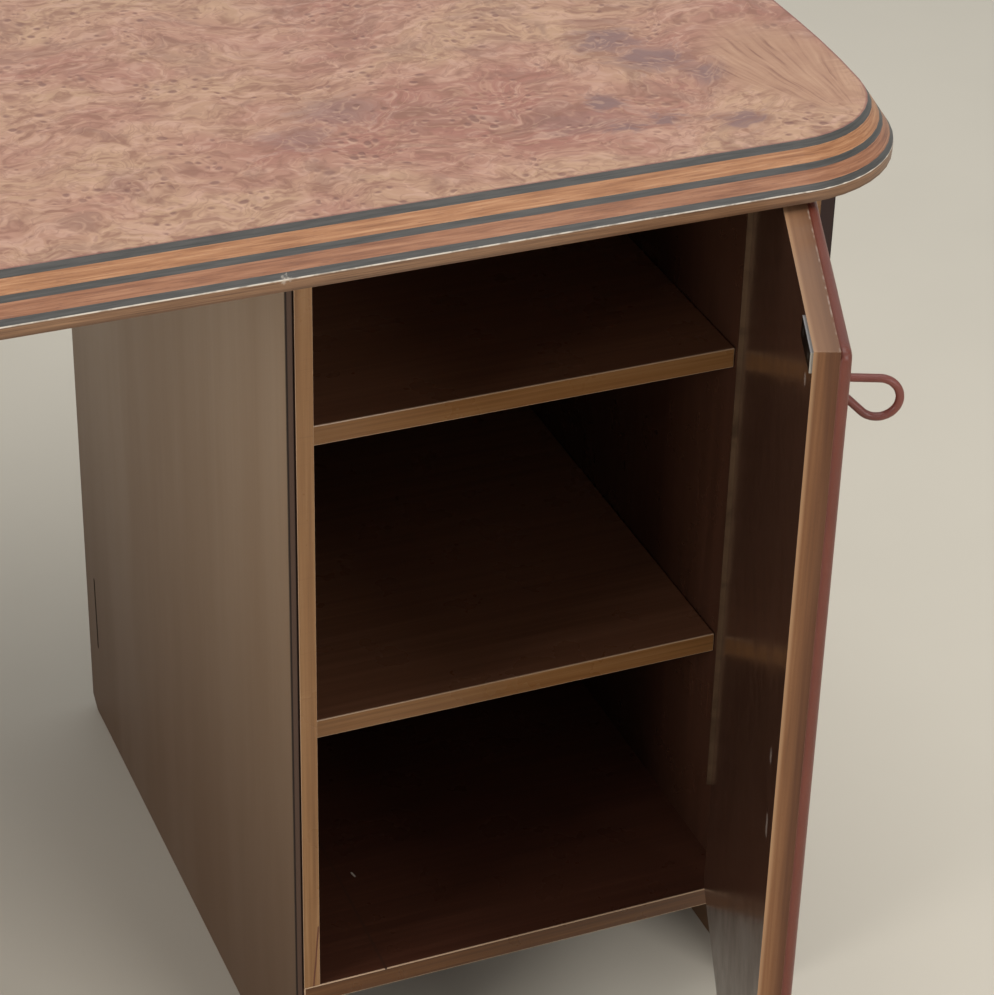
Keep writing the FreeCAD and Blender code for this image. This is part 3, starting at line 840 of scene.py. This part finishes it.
def metal(name, tones, streak_scales, roughness, face_axis=None):
    """Drawn metal with fine streaks, dulled patches and, given the axis of its face, edges lightened as a
    painted highlight.
    """
    clean, worn = tones
    graph = Graph(name, roughness=roughness, Metallic=1.0)
    place = graph.place()
    drawn = graph.vector("MULTIPLY", place, streak_scales)
    streaks = graph.noise(drawn, scale=1.0, detail=4.0, roughness=0.6)
    patches = graph.noise(place, scale=60.0, detail=4.0, roughness=0.6, distortion=0.5)
    tone = graph.mix(graph.rise(patches, low=0.42, high=0.68, most=0.75), clean, worn)
    if face_axis:
        tone = graph.mix(edges_all_round(face_axis)(graph), tone, PAINTED_EDGE_HIGHLIGHT)
    graph.set("Base Color", tone)
    spread = graph.math("MULTIPLY", graph.math("SUBTRACT", streaks, 0.5), METAL_SPREAD)
    graph.set("Roughness", graph.math("ADD", spread, roughness))
    graph.bump(streaks, distance=0.00004, strength=0.4)
    return graph.material


def moulded_plastic(name, colour):
    """Fine-sparked moulded plastic."""
    graph = Graph(name, roughness=0.5)
    place = graph.place()
    dust = graph.rise(graph.noise(place, scale=80.0), low=0.4, high=0.7, most=0.4)
    graph.set("Base Color", graph.mix(dust, colour, CASE_DUST))
    graph.bump(graph.noise(place, scale=1800.0, detail=2.0), distance=0.00005, strength=0.5)
    return graph.material


# Tones of the boards: dark, middle and light
WARM_LIPPING = (srgb(110, 74, 44), srgb(134, 95, 58), srgb(150, 112, 75))
SHELF_LIPPING = (srgb(122, 79, 44), srgb(147, 101, 57), srgb(163, 118, 75))
DULL_LIPPING = (srgb(72, 44, 20), srgb(90, 55, 27), srgb(106, 70, 38))
WALL_FACE = (srgb(54, 32, 22), srgb(60, 36, 25), srgb(67, 41, 29))
FOOT_FACE = (srgb(68, 39, 28), srgb(76, 44, 31), srgb(84, 50, 36))
# Painted light: the level finish has a lighter face than the uprights, standing for light falling on the
# shelves.
LIT_LEVEL_FACE = (srgb(110, 71, 50), srgb(120, 79, 56), srgb(130, 88, 64))
FRONT_FACE = (srgb(62, 40, 30), srgb(67, 44, 33), srgb(73, 49, 37))
FRONT_LIPPING = (srgb(90, 57, 35), srgb(115, 76, 47), srgb(131, 92, 61))
CARCASS_GLOSS = (0.26, 0.36)
FRONT_GLOSS = (0.15, 0.23)
WALL = Finish(WALL_FACE, WARM_LIPPING, CARCASS_GLOSS, shine=0.4)
LEVEL = Finish(LIT_LEVEL_FACE, SHELF_LIPPING, CARCASS_GLOSS, shine=0.4)
FOOT = Finish(FOOT_FACE, DULL_LIPPING, CARCASS_GLOSS, shine=0.4)
FRONT = Finish(FRONT_FACE, FRONT_LIPPING, FRONT_GLOSS, shine=0.32)

# Marks on the bottom board: both ends, width and drift in metres, and tone
BOARD_JOINT = ((0.6990, -0.1965, 0.110), (0.7090, 0.300, 0.110), 0.0024, 0.0, srgb(68, 42, 31))
SPECK = ((0.7115, -0.0940, 0.110), (0.7123, -0.0985, 0.110), 0.0018, 0.0, srgb(190, 176, 160))

# Rubs on the inner face of the shut door: place across, foot and head
DOOR_MARKS = ((0.6765, 0.6707, 0.6717), (0.6825, 0.4215, 0.4249), (0.6755, 0.3746, 0.3836))
DOOR_MARK_WIDTH = 0.0080
DOOR_MARK_DRIFT = 0.0020
PALE_MARK = srgb(136, 122, 112)


def door_marks():
    """Short pale rubs on the door's inner face, placed as on the shut door."""
    inner = closed_box("door_board", OPEN_TURN)[1].y
    marks = []
    for x, low, high in DOOR_MARKS:
        start = OPEN_TURN @ Vector((x, inner, low))
        end = OPEN_TURN @ Vector((x, inner, high))
        marks.append((start, end, DOOR_MARK_WIDTH, DOOR_MARK_DRIFT, PALE_MARK))
    return marks


def door_seam():
    """Places of the door board's leather side and bare side, along the door's own depth."""
    depths = [vertex.co.dot(OPEN_AXES[1]) for vertex in frame["nodes"]["door_board"].data.vertices]
    return min(depths), max(depths)


def set_material(node, material):
    """Gives one CAD node its finish."""
    slots = frame["nodes"][node].data.materials
    slots.clear()
    slots.append(material)


def ease(node, width):
    """Rounds a CAD node's arrises by modifiers, without touching its mesh."""
    piece = frame["nodes"][node]
    weld = piece.modifiers.new("weld", "WELD")
    weld.merge_threshold = WELD_DISTANCE
    planes = piece.modifiers.new("planes", "DECIMATE")
    planes.decimate_type = "DISSOLVE"
    planes.angle_limit = FLAT_ANGLE
    bevel = piece.modifiers.new("arris", "BEVEL")
    bevel.width = width
    bevel.segments = ARRIS_SEGMENTS
    bevel.limit_method = "ANGLE"
    bevel.angle_limit = ARRIS_LEAST_ANGLE
    bevel.harden_normals = False


PEDESTAL_PANELS = (
    "inner_gable", "outer_gable", "inner_wall", "outer_wall", "bottom", "back", "carcass_top",
)
BRASS_NODES = (
    "hinge_wall_leaf", "hinge_door_leaf", "hinge_pin",
    "hinge_wall_screws", "hinge_door_screws", "shelf_pins",
)
DRAWERS = ("drawer_1", "drawer_2", "drawer_3")


def dress_cad():
    """Finishes of the CAD nodes that stay in view."""
    brass = metal("aged_brass", BRASS, BRASS_STREAKS, roughness=0.46)
    steel = metal("plated_steel", ZINC, ZINC_STREAKS, roughness=0.36)
    black = metal("blackened_steel", BLACKING, BLACKING_STREAKS, roughness=0.34, face_axis=OPEN_AXES[1])
    split = (*WALL_CRACK, SPLIT_WIDTH, SPLIT_DRIFT, SPLIT_COLOUR)
    wall = polished_board("carcass_upright", UPRIGHT_GRAIN, WALL, edge_towards_sitter, SQUARE_AXES)
    worn_wall = polished_board(
        "carcass_upright_worn", UPRIGHT_GRAIN, WALL, edge_towards_sitter, SQUARE_AXES, [split])
    board = polished_board("carcass_level", SIDEWAYS_GRAIN, LEVEL, edge_towards_sitter, SQUARE_AXES)
    jointed = polished_board(
        "carcass_bottom", SIDEWAYS_GRAIN, FOOT, edge_towards_sitter, SQUARE_AXES, [BOARD_JOINT, SPECK])
    door_face = edges_all_round(OPEN_AXES[1])
    door = polished_board(
        "door_board", UPRIGHT_GRAIN, FRONT, door_face, OPEN_AXES, door_marks(), door_seam())
    front = polished_board("drawer_front", SIDEWAYS_GRAIN, FRONT, edges_all_round(TO_SITTER), SQUARE_AXES)
    back = gable_veneer("back_veneer", inside=BACK_INSIDE)

    set_material("top_field", burr_walnut())
    set_material("top_band_upper", edge_band("golden_walnut", GOLDEN_BAND, GOLDEN_SEED))
    set_material("top_band_lower", edge_band("red_walnut", RED_BAND, RED_SEED))
    inlay = dark_inlay("dark_inlay")
    for ring in ("top_inlay_inner", "top_inlay_middle", "top_inlay_outer"):
        set_material(ring, inlay)
    set_material("top_base", lip_walnut())

    for side in ("right", "left"):
        set_material(side + "_back", back)
        for panel in ("inner_wall", "outer_wall"):
            set_material(side + "_" + panel, wall)
        set_material(side + "_bottom", jointed if side == "right" else board)
        set_material(side + "_carcass_top", board)
        for panel in PEDESTAL_PANELS:
            ease(side + "_" + panel, ARRIS)
    set_material("right_inner_wall", worn_wall)
    for gable, tone, crack in GABLES:
        set_material(gable, gable_veneer(gable + "_veneer", gable, tone, crack))
    set_material("modesty_panel", gable_veneer("modesty_veneer"))
    ease("modesty_panel", ARRIS)
    for shelf in ("shelf_lower", "shelf_upper"):
        set_material(shelf, board)
        ease(shelf, ARRIS)
    set_material("door_board", door)
    ease("door_board", DOOR_ARRIS)
    for node in BRASS_NODES:
        set_material(node, brass)
    for node in ("strike_screws", "top_screws", "fixed_runners"):
        set_material(node, steel)
    set_material("strike_plate", black)
    ease("strike_plate", FINE_ARRIS)
    set_material("door_catch", moulded_plastic("catch_case", CASE))
    ease("door_catch", ARRIS)
    for drawer in DRAWERS:
        set_material(drawer + "_front", front)
        ease(drawer + "_front", ARRIS)
        for panel in ("_sides", "_back", "_bottom"):
            set_material(drawer + panel, board)
            ease(drawer + panel, ARRIS)
        set_material(drawer + "_runners", steel)


# Leather fronts and loop pulls

def spaced(low, high):
    """Grid lines across a leather front, close together at the rim."""
    start = [low + LEATHER_RIM * share for share in LEATHER_RIM_SHARES]
    finish = [high - LEATHER_RIM * share for share in reversed(LEATHER_RIM_SHARES)]
    gap = finish[0] - start[-1]
    middle = [start[-1] + gap * step / LEATHER_CELLS for step in range(1, LEATHER_CELLS)]
    return start + middle + finish


def rim_point(x, z, low, high):
    """A grid point drawn in to the rounded corner, and its depth in from the rim."""
    corner_x = min(max(x, low.x + LEATHER_CORNER), high.x - LEATHER_CORNER)
    corner_z = min(max(z, low.z + LEATHER_CORNER), high.z - LEATHER_CORNER)
    out = Vector((x - corner_x, z - corner_z))
    if abs(out.x) > 0 and abs(out.y) > 0:
        widest = max(abs(out.x), abs(out.y))
        out = out.normalized() * widest
        return corner_x + out.x, corner_z + out.y, LEATHER_CORNER - widest
    inset = min(x - low.x, high.x - x, z - low.z, high.z - z)
    return x, z, inset


def leather_front(node, body, turn, material):
    """Padded leather front with a rolled rim and slight ripples."""
    low, high = closed_box(node, turn)
    columns = spaced(low.x, high.x)
    rows = spaced(low.z, high.z)
    mesh = bmesh.new()
    grid = []
    for z in rows:
        line = []
        for x in columns:
            flat_x, flat_z, inset = rim_point(x, z, low, high)
            roll = min(max(inset / LEATHER_RIM, 0.0), 1.0)
            drop = LEATHER_RIM * (1.0 - math.sqrt(1.0 - (1.0 - roll) ** 2))
            share_x = (flat_x - low.x) / (high.x - low.x) * 2 - 1
            share_z = (flat_z - low.z) / (high.z - low.z) * 2 - 1
            flatness = (1.0 - share_x ** LEATHER_CROWN_POWER) * (1.0 - share_z ** LEATHER_CROWN_POWER)
            crown = LEATHER_CROWN * (1.0 - flatness)
            ripple_x = flat_x * LEATHER_RIPPLE_SCALE
            ripple_z = flat_z * LEATHER_RIPPLE_SCALE
            spot = Vector((ripple_x, low.y * LEATHER_RIPPLE_SEED, ripple_z))
            ripple = LEATHER_RIPPLE * roll * noise.noise(spot)
            line.append(mesh.verts.new((flat_x, low.y + drop + crown + abs(ripple), flat_z)))
        grid.append(line)
    for lower, upper in zip(grid, grid[1:]):
        for index in range(len(lower) - 1):
            mesh.faces.new((lower[index], lower[index + 1], upper[index + 1], upper[index]))
    far_side = [line[-1] for line in grid[1:]]
    near_side = [line[0] for line in grid[-2:0:-1]]
    rim = grid[0] + far_side + grid[-1][-2::-1] + near_side
    foot = [mesh.verts.new((vertex.co.x, high.y, vertex.co.z)) for vertex in rim]
    for index in range(len(rim)):
        following = (index + 1) % len(rim)
        mesh.faces.new((rim[following], rim[index], foot[index], foot[following]))
    mesh.faces.new(foot)
    bmesh.ops.remove_doubles(mesh, verts=mesh.verts, dist=LEATHER_WELD)
    bmesh.ops.recalc_face_normals(mesh, faces=mesh.faces)
    return finish_piece(mesh, node + "_pad", node, body, turn, material)


def finish_piece(mesh, name, node, body, turn, material):
    """Turns a bmesh into a piece that stands for a node and rides on its body."""
    data = bpy.data.meshes.new(name)
    mesh.transform(turn)
    mesh.to_mesh(data)
    mesh.free()
    for polygon in data.polygons:
        polygon.use_smooth = True
    piece = bpy.data.objects.new(name, data)
    bpy.context.scene.collection.objects.link(piece)
    data.materials.append(material)
    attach(piece, body)
    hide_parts(node)
    return piece


def pull_path(low, high, leather_y):
    """Points of a loop pull, from one root in the leather round to the other."""
    x = (low.x + high.x) / 2
    reach = PULL_REACH - CORD_RADIUS - PULL_RADIUS
    distance = math.hypot(reach, PULL_HALF_GAP)
    lean = math.asin(PULL_RADIUS / distance) - math.atan2(PULL_HALF_GAP, reach)
    touch = math.pi / 2 + lean
    leg = math.sqrt(distance ** 2 - PULL_RADIUS ** 2) + PULL_ROOT
    arc = PULL_RADIUS * touch
    total = 2 * (leg + arc)

    def flat(travel):
        if travel > total / 2:
            out, across = flat(total - travel)
            return out, -across
        if travel < leg:
            gone = travel - PULL_ROOT
            return gone * math.cos(lean), PULL_HALF_GAP + gone * math.sin(lean)
        angle = touch - (travel - leg) / PULL_RADIUS
        return reach + PULL_RADIUS * math.cos(angle), PULL_RADIUS * math.sin(angle)

    drooped = []
    for step in range(PULL_STEPS + 1):
        out, across = flat(total * step / PULL_STEPS)
        away = out * math.cos(PULL_DROOP) + across * math.sin(PULL_DROOP)
        rise = across * math.cos(PULL_DROOP) - out * math.sin(PULL_DROOP)
        drooped.append((away, rise))
    root_z = low.z + CORD_RADIUS - min(rise for away, rise in drooped)
    return [Vector((x, leather_y - away, root_z + rise)) for away, rise in drooped]


def loop_pull(node, leather_node, body, turn, material):
    """Stiff leather cord bent to a loop, with small creases in its bend."""
    low, high = closed_box(node, turn)
    leather_y = closed_box(leather_node, turn)[0].y
    points = pull_path(low, high, leather_y)
    sideways = Vector((1.0, 0.0, 0.0))
    mesh = bmesh.new()
    rings = []
    for index, point in enumerate(points):
        ahead = points[min(index + 1, len(points) - 1)]
        behind = points[max(index - 1, 0)]
        across = (ahead - behind).normalized().cross(sideways)
        ring = []
        for segment in range(PULL_SEGMENTS):
            angle = 2 * math.pi * segment / PULL_SEGMENTS
            spot = point * CORD_CREASE_SCALE + Vector((math.cos(angle), math.sin(angle), 0.0))
            radius = CORD_RADIUS * (1.0 + CORD_CREASE * noise.noise(spot) - CORD_SLACK)
            offset = sideways * math.cos(angle) + across * math.sin(angle)
            ring.append(mesh.verts.new(point + offset * radius))
        rings.append(ring)
    for first, second in zip(rings, rings[1:]):
        for segment in range(PULL_SEGMENTS):
            following = (segment + 1) % PULL_SEGMENTS
            mesh.faces.new((first[segment], first[following], second[following], second[segment]))
    mesh.faces.new(rings[0])
    mesh.faces.new(rings[-1])
    bmesh.ops.recalc_face_normals(mesh, faces=mesh.faces)
    return finish_piece(mesh, node + "_cord", node, body, turn, material)


def dress_fronts():
    """Leather fronts and pulls of the door and the drawers."""
    hide = leather("red_leather", HIDE, HIDE_GRAIN)
    thong = leather("cord_leather", THONG, THONG_GRAIN)
    fronts = [("door_leather", "door_pull", "door", OPEN_TURN)]
    for drawer in DRAWERS:
        fronts.append((drawer + "_leather", drawer + "_pull", drawer, STRAIGHT))
    for leather_node, pull_node, body, turn in fronts:
        pad = leather_front(leather_node, body, turn, hide)
        loop_pull(pull_node, leather_node, body, turn, thong)


# Stage, lights and camera

FLOOR_HALF = 9.0
FLOOR_COLOUR = srgb(216, 207, 190)
FLOOR_SHADE = srgb(190, 182, 166)
WORLD_COLOUR = (0.95, 0.98, 1.0, 1.0)
WORLD_STRENGTH = 0.50

# Lamps: name, place, target, width in metres and power in watts
LAMPS = (
    ("overhead", (0.9, -0.2, 3.2), (0.75, -0.1, 0.7), 2.4, 48.0),
    ("left_front", (-2.6, -1.2, 1.15), (0.7, -0.1, 0.4), 1.1, 48.0),
    ("right_front", (1.8, -3.0, 1.55), (0.8, -0.2, 0.4), 1.3, 38.0),
)


def add_floor():
    """Plain pale floor."""
    graph = Graph("floor", roughness=0.6)
    place = graph.place()
    tone = graph.noise(place, scale=3.0, detail=4.0)
    shade = graph.rise(tone, low=0.3, high=0.7, most=0.12)
    graph.set("Base Color", graph.mix(shade, FLOOR_COLOUR, FLOOR_SHADE))
    bpy.ops.mesh.primitive_plane_add(size=2 * FLOOR_HALF, location=(0, 0, 0))
    floor = bpy.context.object
    floor.name = "floor"
    floor.data.materials.append(graph.material)


def add_lights():
    """Soft studio light: an even room and large lamps."""
    world = bpy.data.worlds.new("room")
    bpy.context.scene.world = world
    world.use_nodes = True
    backdrop = world.node_tree.nodes["Background"]
    backdrop.inputs["Color"].default_value = WORLD_COLOUR
    backdrop.inputs["Strength"].default_value = WORLD_STRENGTH
    for name, place, target, size, power in LAMPS:
        lamp = bpy.data.lights.new(name, "AREA")
        lamp.shape = "SQUARE"
        lamp.size = size
        lamp.energy = power
        holder = bpy.data.objects.new(name, lamp)
        holder.location = place
        holder.rotation_euler = (Vector(target) - Vector(place)).to_track_quat("-Z", "Y").to_euler()
        bpy.context.scene.collection.objects.link(holder)


def add_camera():
    """Camera at the photograph's place, angle and lens."""
    yaw = math.radians(CAMERA_YAW)
    pitch = math.radians(CAMERA_PITCH)
    roll = math.radians(CAMERA_ROLL)
    ahead = Vector((math.sin(yaw) * math.cos(pitch), math.cos(yaw) * math.cos(pitch), -math.sin(pitch)))
    level = Vector((math.cos(yaw), -math.sin(yaw), 0.0))
    upright = level.cross(ahead)
    right = math.cos(roll) * level + math.sin(roll) * upright
    up = math.cos(roll) * upright - math.sin(roll) * level
    lens = bpy.data.cameras.new("photo_camera")
    lens.sensor_fit = "HORIZONTAL"
    lens.sensor_width = CAMERA_SENSOR
    lens.lens = CAMERA_LENS
    camera = bpy.data.objects.new("photo_camera", lens)
    turn = Matrix((right, up, -ahead)).transposed().to_4x4()
    camera.matrix_world = Matrix.Translation(CAMERA_PLACE) @ turn
    bpy.context.scene.collection.objects.link(camera)
    bpy.context.scene.camera = camera


bpy.context.scene.view_settings.view_transform = "Standard"
add_camera()
add_floor()
add_lights()
dress_cad()
dress_fronts()
